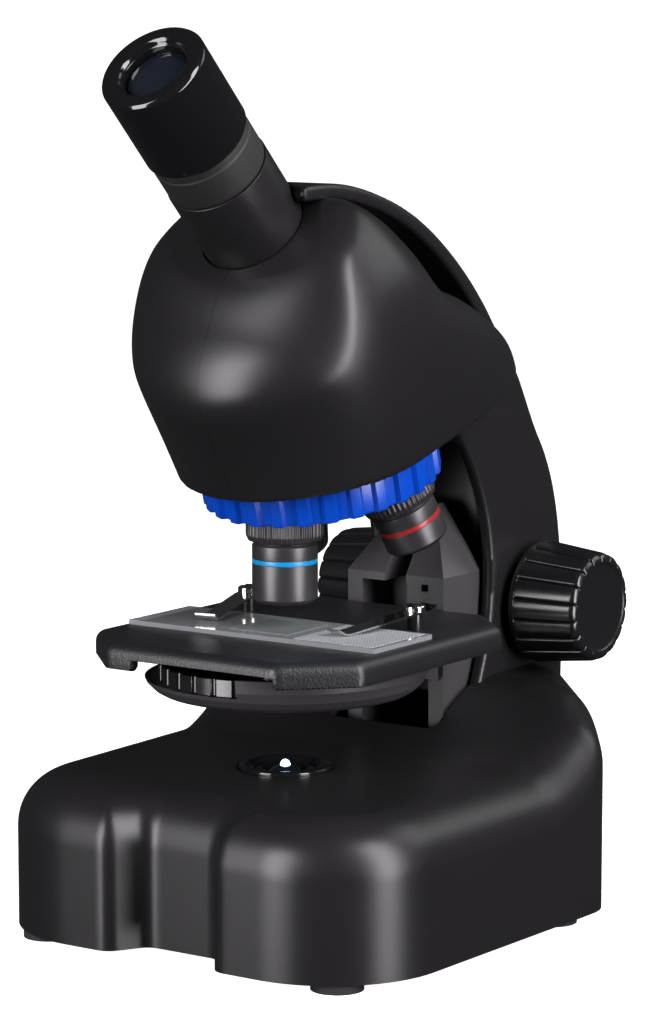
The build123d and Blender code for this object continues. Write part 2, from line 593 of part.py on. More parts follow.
def make_focus():
    axis = Pos(0, KNOB_Y, KNOB_Z)
    shaft = axis * along_x(rod(SHAFT_RADIUS, -KNOB_OUTER + 3, KNOB_OUTER - 3))
    save("focus_shaft", shaft)
    # drawn about Z, then laid along X: its +X tooth ends up pointing down, so it is turned
    # a quarter turn, which brings a tooth to face the rack
    gear = extrude(pinion_outline(0.04), amount=5, both=True) - rod(SHAFT_RADIUS, -6, 6)
    save("pinion", axis * Rot(0, 90, 0) * gear)

    pitch_line = KNOB_Y - PINION_TEETH * GEAR_MODULE / 2
    pitch = pi * GEAR_MODULE
    half_gap = pitch / 4
    slope = tan(radians(20))
    tip, root = 0.8 * GEAR_MODULE, 1.15 * GEAR_MODULE
    first, last = -7, 15
    points = []
    for tooth in range(first, last):
        z = KNOB_Z + (tooth + 0.5) * pitch
        points += [(pitch_line - root, z - half_gap - root * slope),
                   (pitch_line + tip, z - half_gap + tip * slope),
                   (pitch_line + tip, z + half_gap - tip * slope),
                   (pitch_line - root, z + half_gap + root * slope)]
    ends = KNOB_Z + first * pitch, KNOB_Z + last * pitch
    outline = ([(76.5, ends[0]), (pitch_line - root, ends[0])] + points
               + [(pitch_line - root, ends[1]), (76.5, ends[1])])
    save("rack", side_profile(outline, 2.9))

    for side, name in ((1, "focus_knob_right"), (-1, "focus_knob_left")):
        knob = taper(KNOB_RADIUS_IN, KNOB_RADIUS_OUT, KNOB_INNER, KNOB_OUTER)
        knob = fillet(knob.edges().group_by(Axis.Z)[-1], 1.6)
        for i in range(KNOB_FLUTES):
            groove = Pos(KNOB_RADIUS_IN + 0.5, 0, KNOB_INNER) * Rot(0, -5, 0) * Cylinder(1.3, 60)
            knob -= Rot(0, 0, i * 360 / KNOB_FLUTES) * groove
        knob -= taper(11.0, 12.0, KNOB_OUTER - 1.0, KNOB_OUTER + 0.1)
        knob -= rod(SHAFT_RADIUS, KNOB_INNER - 1, KNOB_OUTER - 3)
        knob = axis * along_x(knob)
        save(name, knob if side > 0 else mirrored(knob))


make_base()
make_battery_bay()
make_light()
make_switch()
make_arm()
make_head()
make_turret()
make_eyepiece()
make_stage()
make_carriage()
make_filter()
make_focus()
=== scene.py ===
"""Looks for the microscope: moulded shells, turned metal and plastic, glass, and the studio.

Shapes are worked out in millimetres with x = y = 0 on the optical axis and z = 0 on the table,
and world() turns them into the frame's metres.
"""
import math

import bmesh
import bpy
import numpy as np
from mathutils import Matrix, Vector

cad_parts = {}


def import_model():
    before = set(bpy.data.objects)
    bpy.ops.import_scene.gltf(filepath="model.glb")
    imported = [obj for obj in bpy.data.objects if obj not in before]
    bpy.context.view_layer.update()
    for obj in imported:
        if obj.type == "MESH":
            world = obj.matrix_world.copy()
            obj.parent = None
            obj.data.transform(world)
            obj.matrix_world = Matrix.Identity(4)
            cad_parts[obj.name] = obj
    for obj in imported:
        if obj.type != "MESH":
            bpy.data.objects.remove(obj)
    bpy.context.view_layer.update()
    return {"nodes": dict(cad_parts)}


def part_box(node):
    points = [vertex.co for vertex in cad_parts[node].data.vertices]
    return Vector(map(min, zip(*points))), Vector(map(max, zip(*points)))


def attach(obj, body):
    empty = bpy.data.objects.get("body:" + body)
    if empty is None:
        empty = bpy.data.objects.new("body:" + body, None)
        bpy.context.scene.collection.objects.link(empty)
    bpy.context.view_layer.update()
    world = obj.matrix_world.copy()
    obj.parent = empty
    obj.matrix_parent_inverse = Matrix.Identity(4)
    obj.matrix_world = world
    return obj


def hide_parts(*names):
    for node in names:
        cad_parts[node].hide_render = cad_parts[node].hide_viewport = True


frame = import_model()
nodes = frame["nodes"]

MM = 0.001
lamp_low, lamp_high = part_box("led_lens")
OPTICAL_Y = (lamp_low.y + lamp_high.y) / 2     # the optical axis, in metres


# ---- meshes ---------------------------------------------------------------------------
def world(points):
    """Millimetres about the optical axis to metres in the frame."""
    moved = np.asarray(points, float) * MM
    moved[:, 1] += OPTICAL_Y
    return moved


def link(name, mesh, material, body, replaced=(), sharp=40.0):
    """Make an object of a mesh, shade it smooth and let it ride on a body."""
    mesh.shade_smooth()
    mesh.set_sharp_from_angle(angle=math.radians(sharp))
    obj = bpy.data.objects.new(name, mesh)
    bpy.context.scene.collection.objects.link(obj)
    mesh.materials.append(material)
    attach(obj, body)
    if replaced:
        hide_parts(*replaced)
    return obj


def as_mesh(name, points, faces):
    mesh = bpy.data.meshes.new(name)
    mesh.from_pydata(world(points).tolist(), [], [list(map(int, face)) for face in faces])
    mesh.validate()
    return mesh


def smooth_curve(knots, values):
    """A natural cubic spline through the knots."""
    t, v = np.asarray(knots, float), np.asarray(values, float)
    n, h = len(t), np.diff(np.asarray(knots, float))
    matrix, right = np.eye(n), np.zeros(n)
    for i in range(1, n - 1):
        matrix[i, i - 1:i + 2] = h[i - 1], 2 * (h[i - 1] + h[i]), h[i]
        right[i] = 6 * ((v[i + 1] - v[i]) / h[i] - (v[i] - v[i - 1]) / h[i - 1])
    bend = np.linalg.solve(matrix, right)

    def evaluate(x):
        x = np.clip(x, t[0], t[-1])
        i = np.clip(np.searchsorted(t, x) - 1, 0, n - 2)
        a, b = t[i + 1] - x, x - t[i]
        return ((bend[i] * a ** 3 + bend[i + 1] * b ** 3) / (6 * h[i])
                + (v[i] / h[i] - bend[i] * h[i] / 6) * a
                + (v[i + 1] / h[i] - bend[i + 1] * h[i] / 6) * b)
    return evaluate


def path_points(points, count=60):
    """Even points along a smooth curve through a few points of a plane."""
    points = np.asarray(points, float)
    length = np.concatenate([[0], np.cumsum(np.hypot(*np.diff(points, axis=0).T))])
    at = np.linspace(0, length[-1], count)
    return np.stack([smooth_curve(length, points[:, k])(at) for k in (0, 1)], 1)


# ---- implicit shapes: negative inside, in millimetres -----------------------------------
def gentle(t):
    t = np.clip(t, 0, 1)
    return t * t * (3 - 2 * t)


def common(a, b, radius, cosine=0.0):
    """What two shapes share, with the edge rounded. cosine is of the angle between normals."""
    u, v = a + radius, b + radius
    arc = np.sqrt(np.maximum(u * u + v * v - 2 * cosine * u * v, 0) / (1 - cosine ** 2)) - radius
    return np.where((u > cosine * v) & (v > cosine * u), arc, np.maximum(a, b))


def to_path(y, z, path):
    """Distance to a run of points, in a plane."""
    best = np.full(y.shape, 1e9)
    for (y0, z0), (y1, z1) in zip(path[:-1], path[1:]):
        dy, dz = y1 - y0, z1 - z0
        t = np.clip(((y - y0) * dy + (z - z0) * dz) / (dy * dy + dz * dz), 0, 1)
        best = np.minimum(best, (y - y0 - t * dy) ** 2 + (z - z0 - t * dz) ** 2)
    return np.sqrt(best)


def in_outline(y, z, path):
    """Whether points are inside a closed run of points."""
    inside = np.zeros(y.shape, bool)
    for (y0, z0), (y1, z1) in zip(path, np.roll(path, -1, axis=0)):
        if z0 != z1:
            crossing = (z0 > z) != (z1 > z)
            inside ^= crossing & (y < (y1 - y0) * (z - z0) / (z1 - z0) + y0)
    return inside


def to_outline(y, z, path):
    closed = np.vstack([path, path[:1]])
    return np.where(in_outline(y, z, path), -1.0, 1.0) * to_path(y, z, closed)


def slope(field, points, reach=0.05):
    columns = []
    for k in range(3):
        step = np.zeros(3)
        step[k] = reach
        columns.append((field(*(points + step).T) - field(*(points - step).T)) / (2 * reach))
    return np.stack(columns, 1)


def settle(field, points, limit, rounds=3):
    """Pull points onto the surface."""
    for _ in range(rounds):
        normal = slope(field, points)
        size = np.maximum((normal ** 2).sum(1), 0.05)
        move = np.clip(field(*points.T) / size, -limit, limit)
        points = points - move[:, None] * normal
    return points


def skin(field, low, high, step):
    """Mesh a field's surface by surface nets: points and four-sided faces."""
    counts = [int(math.ceil((b - a) / step)) + 1 for a, b in zip(low, high)]
    axes = [a + step * np.arange(n) for a, n in zip(low, counts)]
    values = field(*[g.ravel() for g in np.meshgrid(*axes, indexing="ij")]).reshape(counts)
    cells = np.array(counts) - 1
    total, hits = np.zeros(tuple(cells) + (3,)), np.zeros(tuple(cells))
    quads = []
    for axis in range(3):
        first, last = [slice(None)] * 3, [slice(None)] * 3
        first[axis], last[axis] = slice(0, -1), slice(1, None)
        a, b = values[tuple(first)], values[tuple(last)]
        crossing = (a < 0) != (b < 0)
        index = np.argwhere(crossing)
        place = index.astype(float)
        place[:, axis] += a[crossing] / (a[crossing] - b[crossing])
        one, two = [k for k in range(3) if k != axis]
        around = []
        for i, j in ((0, 0), (1, 0), (1, 1), (0, 1)):
            cell = index.copy()
            cell[:, one] -= i
            cell[:, two] -= j
            fits = ((cell >= 0) & (cell < cells)).all(1)
            np.add.at(total, tuple(cell[fits].T), place[fits])
            np.add.at(hits, tuple(cell[fits].T), 1)
            around.append(np.where(fits[:, None], cell, -1))
        flip = (a[crossing] < 0) if axis == 1 else (a[crossing] >= 0)
        quads.append((np.stack(around, 1), flip))
    used = hits > 0
    number = np.full(tuple(cells), -1)
    number[used] = np.arange(used.sum())
    points = np.array(low) + step * total[used] / hits[used][:, None]
    faces = []
    for around, flip in quads:
        whole = (around >= 0).all((1, 2))
        around, flip = around[whole], flip[whole]
        face = number[around[..., 0], around[..., 1], around[..., 2]]
        face[flip] = face[flip][:, ::-1]
        faces.append(face)
    faces = np.vstack(faces)
    points = settle(field, points, 0.6 * step)
    for _ in range(2):
        points = settle(field, relaxed(points, faces), 0.4 * step, 2)
    return points, faces


def relaxed(points, faces, share=0.5):
    """Move each point part of the way to the middle of its neighbours."""
    total, hits = np.zeros_like(points), np.zeros(len(points))
    for a, b in ((0, 1), (1, 2), (2, 3), (3, 0)):
        np.add.at(total, faces[:, a], points[faces[:, b]])
        np.add.at(total, faces[:, b], points[faces[:, a]])
        np.add.at(hits, faces[:, a], 1)
        np.add.at(hits, faces[:, b], 1)
    return points + share * (total / np.maximum(hits, 1)[:, None] - points)


SEAM_GAP, SEAM_DEPTH = 0.1, 0.07


def right_half(mesh, gap=SEAM_GAP):
    """Cut a mesh just off the middle and close it, which leaves a fine seam."""
    bm = bmesh.new()
    bm.from_mesh(mesh)
    everything = bm.verts[:] + bm.edges[:] + bm.faces[:]
    bmesh.ops.bisect_plane(bm, geom=everything, plane_co=(gap * MM, 0, 0), plane_no=(1, 0, 0),
                           clear_inner=True)
    bm.normal_update()
    rim = [edge for edge in bm.edges if edge.is_boundary and
           all(abs(v.co.x - gap * MM) < 1e-6 for v in edge.verts)]
    copies = bmesh.ops.extrude_edge_only(bm, edges=rim)["geom"]
    fresh = [v for v in copies if isinstance(v, bmesh.types.BMVert)]
    for v in fresh:
        v.co.x -= SEAM_DEPTH * MM
    loops = [e for e in copies if isinstance(e, bmesh.types.BMEdge) and e.is_boundary]
    bmesh.ops.holes_fill(bm, edges=loops)
    bmesh.ops.recalc_face_normals(bm, faces=bm.faces)
    bm.to_mesh(mesh)
    bm.free()


def cut(mesh, radius, run, place, count=160):
    """Cut a round hole along Z of a place, from run[0] to run[1]."""
    section = [(0, run[0]), (radius, run[0]), (radius, run[1]), (0, run[1])]
    tool_mesh = turned("tool", section, place, count, None, 0)
    tool = bpy.data.objects.new("tool", tool_mesh)
    holder = bpy.data.objects.new("holder", mesh)
    for obj in (tool, holder):
        bpy.context.scene.collection.objects.link(obj)
    hole = holder.modifiers.new("hole", "BOOLEAN")
    hole.operation, hole.solver, hole.object = "DIFFERENCE", "EXACT", tool
    graph = bpy.context.evaluated_depsgraph_get()
    result = bpy.data.meshes.new_from_object(holder.evaluated_get(graph))
    bm = bmesh.new()
    bm.from_mesh(result)
    bm.to_mesh(mesh)
    bm.free()
    for obj in (tool, holder):
        bpy.data.objects.remove(obj)
    bpy.data.meshes.remove(tool_mesh)
    bpy.data.meshes.remove(result)


def flipped(mesh, name):
    """The same mesh on the other side of the middle."""
    other = mesh.copy()
    other.name = name
    bm = bmesh.new()
    bm.from_mesh(other)
    for v in bm.verts:
        v.co.x = -v.co.x
    bmesh.ops.reverse_faces(bm, faces=bm.faces)
    bm.to_mesh(other)
    bm.free()
    return other


# ---- turned pieces ----------------------------------------------------------------------
def softened(section, radius=0.3, steps=3):
    """A half section (radius, height) with its corners rounded."""
    section = [np.array(p, float) for p in section]
    out = [section[0]]
    for before, here, after in zip(section[:-2], section[1:-1], section[2:]):
        one, two = before - here, after - here
        reach = min(radius, 0.45 * np.linalg.norm(one), 0.45 * np.linalg.norm(two))
        start = here + one / np.linalg.norm(one) * reach
        end = here + two / np.linalg.norm(two) * reach
        for k in range(steps + 1):
            t = k / steps
            out.append((1 - t) ** 2 * start + 2 * t * (1 - t) * here + t * t * end)
    return out + [section[-1]]


def turned(name, section, place=None, count=96, shape=None, soften=0.3):
    """Turn a half section about Z. shape(radius, angle, height) may carve flutes in it."""
    rows = softened(section, soften) if soften else [np.array(p, float) for p in section]
    angles = 2 * math.pi * np.arange(count) / count
    points, faces = [], []
    for radius, height in rows:
        r = shape(radius, angles, height) if shape else np.full(count, radius)
        points.append(np.stack([r * np.cos(angles), r * np.sin(angles), np.full(count, height)], 1))
    for i in range(len(rows) - 1):
        for k in range(count):
            n = (k + 1) % count
            faces.append((i * count + k, i * count + n, (i + 1) * count + n, (i + 1) * count + k))
    last = (len(rows) - 1) * count
    if rows[0][0] > 0.01:
        faces.append(tuple(range(count - 1, -1, -1)))
    if rows[-1][0] > 0.01:
        faces.append(tuple(range(last, last + count)))
    points = np.vstack(points)
    if place is not None:
        points = points @ place[0].T + place[1]
    mesh = as_mesh(name, points, faces)
    bm = bmesh.new()
    bm.from_mesh(mesh)
    bmesh.ops.remove_doubles(bm, verts=bm.verts, dist=1e-7)
    bmesh.ops.recalc_face_normals(bm, faces=bm.faces)
    bm.to_mesh(mesh)
    bm.free()
    return mesh


def arc(radius, rise, height, first, last, steps=10):
    """Points (radius, height) of a dome's section, by angles up from its edge."""
    angles = np.radians(np.linspace(first, last, steps + 1))
    return list(zip(radius * np.cos(angles), height + rise * np.sin(angles)))


def turn_out(name, section, place, material, body, replaced, count=96, soften=0.3,
             shape=None, sharp=40.0):
    """A turned piece, linked under its own name."""
    mesh = turned(name, section, place, count, shape, soften)
    return link(name, mesh, material, body, replaced, sharp)


def tilt_x(degrees):
    c, s = math.cos(math.radians(degrees)), math.sin(math.radians(degrees))
    return np.array([[1, 0, 0], [0, c, -s], [0, s, c]])


def turn_z(degrees):
    c, s = math.cos(math.radians(degrees)), math.sin(math.radians(degrees))
    return np.array([[c, -s, 0], [s, c, 0], [0, 0, 1]])


# ---- materials --------------------------------------------------------------------------
def finish(name, color, roughness=0.4, metallic=0.0, grain=0.0, grain_size=0.3, mottle=0.0,
           coat=0.0, specular=0.5, brushed=None):
    """A moulded or metal finish: one base colour, roughness with a little variation, and a fine
    grain.
    """
    material = bpy.data.materials.new(name)
    material.use_nodes = True
    tree = material.node_tree
    shader = tree.nodes["Principled BSDF"]
    shader.inputs["Base Color"].default_value = (*color, 1)
    shader.inputs["Roughness"].default_value = roughness
    shader.inputs["Metallic"].default_value = metallic
    shader.inputs["Specular IOR Level"].default_value = specular
    shader.inputs["Coat Weight"].default_value = coat
    place = tree.nodes.new("ShaderNodeTexCoord")
    if grain:
        noise = tree.nodes.new("ShaderNodeTexNoise")
        noise.inputs["Scale"].default_value = 1 / (grain_size * MM)
        noise.inputs["Detail"].default_value = 2
        bump = tree.nodes.new("ShaderNodeBump")
        bump.inputs["Strength"].default_value = 1.0
        bump.inputs["Distance"].default_value = grain * MM
        source = place.outputs["Object"]
        if brushed:
            stretch = tree.nodes.new("ShaderNodeMapping")
            stretch.inputs["Scale"].default_value = brushed
            tree.links.new(source, stretch.inputs["Vector"])
            source = stretch.outputs["Vector"]
        tree.links.new(source, noise.inputs["Vector"])
        tree.links.new(noise.outputs["Fac"], bump.inputs["Height"])
        tree.links.new(bump.outputs["Normal"], shader.inputs["Normal"])
    if mottle:
        broad = tree.nodes.new("ShaderNodeTexNoise")
        broad.inputs["Scale"].default_value = 60
        broad.inputs["Detail"].default_value = 4
        spread = tree.nodes.new("ShaderNodeMapRange")
        spread.inputs["To Min"].default_value = roughness - mottle
        spread.inputs["To Max"].default_value = roughness + mottle
        tree.links.new(place.outputs["Object"], broad.inputs["Vector"])
        tree.links.new(broad.outputs["Fac"], spread.inputs["Value"])
        tree.links.new(spread.outputs["Result"], shader.inputs["Roughness"])
    return material


def glassy(name, color, alpha, roughness=0.08):
    material = finish(name, color, roughness)
    shader = material.node_tree.nodes["Principled BSDF"]
    shader.inputs["Alpha"].default_value = alpha
    return material


def glowing(name, color, strength):
    material = finish(name, color, 0.3)
    shader = material.node_tree.nodes["Principled BSDF"]
    shader.inputs["Emission Color"].default_value = (*color, 1)
    shader.inputs["Emission Strength"].default_value = strength
    return material


GRAPHITE = finish("graphite", (0.021, 0.019, 0.021), 0.35, metallic=0.5, grain=0.016,
                  grain_size=0.35, mottle=0.03)
GREY = finish("carriage_grey", (0.042, 0.038, 0.043), 0.48, grain=0.01, grain_size=0.5, mottle=0.04)
STAGE = finish("stage_black", (0.009, 0.009, 0.011), 0.42, grain=0.10, grain_size=0.6, mottle=0.03)
BLUE = finish("ring_blue", (0.0, 0.050, 0.42), 0.30, grain=0.004, grain_size=0.5, mottle=0.03)
GLOSS = finish("gloss_black", (0.006, 0.006, 0.007), 0.10, grain=0.002, grain_size=0.8, mottle=0.02)
SATIN = finish("satin_black", (0.008, 0.008, 0.009), 0.24, grain=0.006, grain_size=0.5, mottle=0.03)
MATT = finish("matt_black", (0.010, 0.010, 0.010), 0.62, grain=0.01, grain_size=0.4, mottle=0.04)
GUNMETAL = finish("gunmetal", (0.060, 0.056, 0.060), 0.40, metallic=0.7, grain=0.006,
                  grain_size=0.25, mottle=0.04)
BANDS = {"mid": finish("band_blue", (0.0, 0.22, 0.50), 0.35, grain=0.004, mottle=0.03),
         "low": finish("band_red", (0.30, 0.01, 0.015), 0.35, grain=0.004, mottle=0.03),
         "high": finish("band_yellow", (0.55, 0.32, 0.02), 0.35, grain=0.004, mottle=0.03)}
CHROME = finish("chrome", (0.75, 0.74, 0.72), 0.12, metallic=1.0, grain=0.003, mottle=0.03)
STEEL = finish("steel", (0.45, 0.45, 0.46), 0.35, metallic=1.0, grain=0.004, mottle=0.05)
BRASS = finish("brass", (0.55, 0.38, 0.12), 0.3, metallic=1.0, grain=0.004, mottle=0.05)
RUBBER = finish("rubber", (0.012, 0.012, 0.012), 0.75, grain=0.02, grain_size=0.4, mottle=0.05)
BOARD = finish("board", (0.01, 0.10, 0.03), 0.4, grain=0.004, mottle=0.03)
WRAP = finish("battery_wrap", (0.10, 0.10, 0.11), 0.25, grain=0.003, mottle=0.03)
SILVER = finish("mirror", (0.9, 0.9, 0.92), 0.03, metallic=1.0, grain=0.001, mottle=0.01)
LENS = finish("lens", (0.008, 0.010, 0.016), 0.03, coat=1.0, specular=0.8, grain=0.001, mottle=0.01)
SLIDE = glassy("slide_plastic", (0.25, 0.25, 0.27), 0.80, 0.12)
COVER = glassy("cover_glass", (0.30, 0.33, 0.33), 0.55, 0.05)
DOME = glowing("lamp_dome", (0.62, 0.80, 1.0), 6.0)
CHIP = glowing("lamp_chip", (0.8, 0.9, 1.0), 4.0)


def label_paper():
    """White label with fine grey rows."""
    material = finish("label_paper", (0.40, 0.41, 0.43), 0.55, grain=0.01, grain_size=0.2)
    tree = material.node_tree
    shader = tree.nodes["Principled BSDF"]
    place = tree.nodes.new("ShaderNodeTexCoord")
    rows = tree.nodes.new("ShaderNodeTexBrick")
    rows.inputs["Scale"].default_value = 1 / MM
    rows.inputs["Brick Width"].default_value = 0.9
    rows.inputs["Row Height"].default_value = 0.75
    rows.inputs["Mortar Size"].default_value = 0.13
    rows.inputs["Color1"].default_value = (0.14, 0.15, 0.17, 1)
    rows.inputs["Color2"].default_value = (0.26, 0.27, 0.29, 1)
    rows.inputs["Mortar"].default_value = (0.42, 0.43, 0.45, 1)
    tree.links.new(place.outputs["Object"], rows.inputs["Vector"])
    tree.links.new(rows.outputs["Color"], shader.inputs["Base Color"])
    return material


LABEL = label_paper()


# ---- base -------------------------------------------------------------------------------
TOE_FRONT, RECESS_FRONT, TOE_CORNER = -53.5, -43.5, 31.0
BASE_FRONT_HALF, BASE_BACK_HALF, BASE_SIDE_END = 60.9, 62.9, 49.2
BASE_BOTTOM, BASE_TOP, HUMP_TOP = 2.5, 42.0, 57.8
REAR_CORNER, REAR_TAPER, BASE_REAR = 14.0, 40.0, 110.5
RISE_START, RISE_LENGTH, RISE_HEIGHT = 28.0, 42.0, 15.3
BASE_EDGE, BASE_WALL = 14.0, 2.6
RECESS_HALF, RECESS_FLANK = 10.8, (10.0, 5.6)
# the well for the stage carriage, and a narrower one for its rack behind
WELL_HALF, WELL_FRONT, WELL_BACK, WELL_FLOOR = 16.4, 44.0, 71.0, 20.0
RACK_WELL_HALF, RACK_WELL_MIDDLE, RACK_WELL_REACH = 13.4, 76.0, 15.0
LAMP_HOLE, LAMP_HOLE_FLOOR = 12.0, 30.0


def base_outline(x, y):
    wide = np.abs(x)
    run = np.array([BASE_BACK_HALF - BASE_FRONT_HALF, BASE_SIDE_END - TOE_FRONT - TOE_CORNER])
    run /= np.linalg.norm(run)
    side_normal = np.array([run[1], -run[0]])
    side = side_normal[0] * (wide - BASE_FRONT_HALF) + side_normal[1] * (y - TOE_FRONT - TOE_CORNER)
    front = TOE_FRONT - y
    lean = math.radians(REAR_TAPER)
    taper = (math.cos(lean) * (wide - BASE_BACK_HALF + REAR_CORNER)
             + math.sin(lean) * (y - BASE_SIDE_END) - REAR_CORNER)
    outline = common(front, side, TOE_CORNER, -side_normal[1])
    outline = common(outline, taper, REAR_CORNER,
                     math.cos(lean) * side_normal[0] + math.sin(lean) * side_normal[1])
    outline = common(outline, y - BASE_REAR, REAR_CORNER, math.sin(lean))
    flank = np.array(RECESS_FLANK) / math.hypot(*RECESS_FLANK)
    recess = common(flank[0] * (wide - RECESS_HALF) + flank[1] * (y - RECESS_FRONT),
                    y - RECESS_FRONT, 4.5, flank[1])
    return common(outline, -recess, 5.0, flank[1])


def base_field(x, y, z):
    """The base's outer form: flat in front, rising to the hump behind."""
    t = np.clip((y - RISE_START) / RISE_LENGTH, 0, 1)
    rise = gentle(t)
    top = z - BASE_TOP - (HUMP_TOP - BASE_TOP) * rise
    steepness = RISE_HEIGHT / RISE_LENGTH * 6 * t * (1 - t)
    return common(base_outline(x, y), top / np.sqrt(1 + steepness ** 2), BASE_EDGE - 2.0 * rise)


def base_shell(x, y, z):
    body = base_field(x, y, z)
    wide = np.abs(x)
    well = np.maximum(np.maximum(wide - WELL_HALF, WELL_FRONT - y), y - WELL_BACK)
    rack_well = np.maximum(wide - RACK_WELL_HALF, np.abs(y - RACK_WELL_MIDDLE) - RACK_WELL_REACH)
    well = np.maximum(np.minimum(well, rack_well), WELL_FLOOR - z)
    lamp = np.maximum(np.hypot(x, y) - LAMP_HOLE, LAMP_HOLE_FLOOR - z)
    shell = common(body, -well, 0.6)
    shell = common(shell, -lamp, 0.5)
    return np.maximum(shell, -(body + BASE_WALL))


def make_base():
    points, faces = skin(base_shell, (-66, -57, -1), (66, 114, 61), 1.25)
    mesh = as_mesh("base_shell_skin", points, faces)
    bm = bmesh.new()
    bm.from_mesh(mesh)
    everything = bm.verts[:] + bm.edges[:] + bm.faces[:]
    bmesh.ops.bisect_plane(bm, geom=everything, plane_co=(0, 0, BASE_BOTTOM * MM),
                           plane_no=(0, 0, 1),
                           clear_inner=True)
    rim = [edge for edge in bm.edges if edge.is_boundary]
    bmesh.ops.triangle_fill(bm, use_beauty=True, edges=rim, normal=(0, 0, -1))
    bmesh.ops.recalc_face_normals(bm, faces=bm.faces)
    bm.to_mesh(mesh)
    bm.free()
    link("base_shell_skin", mesh, GRAPHITE, "frame", ["base_shell"])


# ---- head -------------------------------------------------------------------------------
APEX_Z, TURRET_TILT, RIM = 175.6, 15.0, 54.75
TUBE_RADIUS, TUBE_Y, TUBE_Z = 13.4, -13.8, 180.6
# height above the rim, front, rear and half width, in the turret's directions
HEAD_SECTIONS = [(0, -37.4, 73.5, 33.5), (14, -41, 66.5, 35.8), (22, -43.5, 57.5, 36.6),
                 (28, -45.2, 48.5, 37.0), (38, -46, 34, 36.8), (46, -43.5, 26, 35.6),
                 (54, -40, 19, 32.8), (61, -35, 14.5, 28.5), (67, -26, 11, 22.5),
                 (72, -15, 8, 15.5)]
head_up = [row[0] for row in HEAD_SECTIONS]
head_front, head_rear, head_half = [smooth_curve(head_up, [row[k] for row in HEAD_SECTIONS])
                                    for k in (1, 2, 3)]
HEAD_REAR, HEAD_WALL, HEAD_HOLLOW_TOP = 69.0, 2.4, 8.0
TUBE_GAP = 0.45
# the hollow under the handle: its depth, half width, and where it begins and how long it deepens
SCOOP, SCOOP_HALF, SCOOP_START, SCOOP_RUN = 5.0, 15.0, 4.0, 14.0
# the edge where the sides turn into the hollow under the carry handle, as (y, z)
HEAD_BACK = [(-14, 193), (2.5, 186), (13.7, 178.5), (22.6, 167.5), (28.0, 164.2), (36.7, 162.5),
             (52.2, 156.2), (64.7, 150.1), (72.6, 145.6), (82, 139.5)]
head_back = smooth_curve([y for y, z in HEAD_BACK], [z for y, z in HEAD_BACK])
TUBE_PLACE = tilt_x(45.0), np.array([0.0, TUBE_Y, TUBE_Z])


def in_turret(x, y, z):
    """Rearwards and upwards from the rim, in the turret's directions."""
    c, s = math.cos(math.radians(TURRET_TILT)), math.sin(math.radians(TURRET_TILT))
    return c * y + s * (z - APEX_Z), -s * y + c * (z - APEX_Z) + RIM


def in_tube(y, z):
    """Across and along the eyepiece tube's axis, from where it leaves the head."""
    root = math.sqrt(0.5)
    return root * ((y - TUBE_Y) + (z - TUBE_Z)), root * (-(y - TUBE_Y) + (z - TUBE_Z))


def egg(x, v, front, rear, half, power=2.7):
    """A plan that is round in front, then narrows to a squarer back."""
    dv = v - front - half
    behind = np.maximum(rear - front - half, 6.0)
    a, b = np.abs(x) / half, np.maximum(dv, 1e-6) / behind
    size = np.maximum(a ** power + b ** power, 1e-9) ** (1 / power)
    pull = np.hypot((a / size) ** (power - 1) / half, (b / size) ** (power - 1) / behind)
    return np.where(dv < 0, np.hypot(x, dv) - half, (size - 1) / np.maximum(pull, 1e-6))


def head_form(x, y, z):
    """The head's outside: the plan, cut by the tube's face and by the edge behind it."""
    v, up = in_turret(x, y, z)
    body = egg(x, v, head_front(up), head_rear(up), head_half(up))
    body = common(body, v - HEAD_REAR, 2.5, 0.3)
    across, along = in_tube(y, z)
    body = common(body, along, 4.5 + 15.0 * gentle((-3.0 - across) / 28.0))
    scoop = SCOOP * gentle((SCOOP_HALF - np.abs(x)) / 6.0) * gentle((y - SCOOP_START) / SCOOP_RUN)
    back = head_back(y) - scoop
    fall = head_back(y + 0.5) - head_back(y - 0.5)
    return common(body, (z - back) / np.sqrt(1 + fall ** 2), 3.5)


def head_field(x, y, z):
    v, up = in_turret(x, y, z)
    body = common(head_form(x, y, z), -up, 0.7)
    hollow = egg(x, v, head_front(up) + HEAD_WALL, head_rear(up) - HEAD_WALL,
                 head_half(up) - HEAD_WALL)
    roof = z - head_back(y) + SCOOP + HEAD_WALL
    hollow = np.maximum(hollow, np.maximum(v - HEAD_REAR + HEAD_WALL, roof))
    return common(body, -np.maximum(hollow, up - HEAD_HOLLOW_TOP), 0.5)


def make_head():
    points, faces = skin(head_field, (-3, -53, 108), (41, 84, 196), 1.15)
    right = as_mesh("head_right_skin", points, faces)
    cut(right, TUBE_RADIUS + TUBE_GAP, (-9.0, 12.0), TUBE_PLACE)
    right_half(right)
    left = flipped(right, "head_left_skin")
    link("head_right_skin", right, GRAPHITE, "frame", ["head_right"])
    link("head_left_skin", left, GRAPHITE, "frame", ["head_left"])


# ---- carry handle -----------------------------------------------------------------------
HANDLE_TOP = [(-12, 191.5), (-4.4, 191.7), (8.8, 190.4), (21.1, 187.4), (33.7, 182.8),
              (46.6, 175.7), (59.8, 165.8), (70.6, 155.2), (78.6, 145.4)]
HANDLE_HALF, HANDLE_THICK, HANDLE_GAP = 16.0, 4.0, 0.4


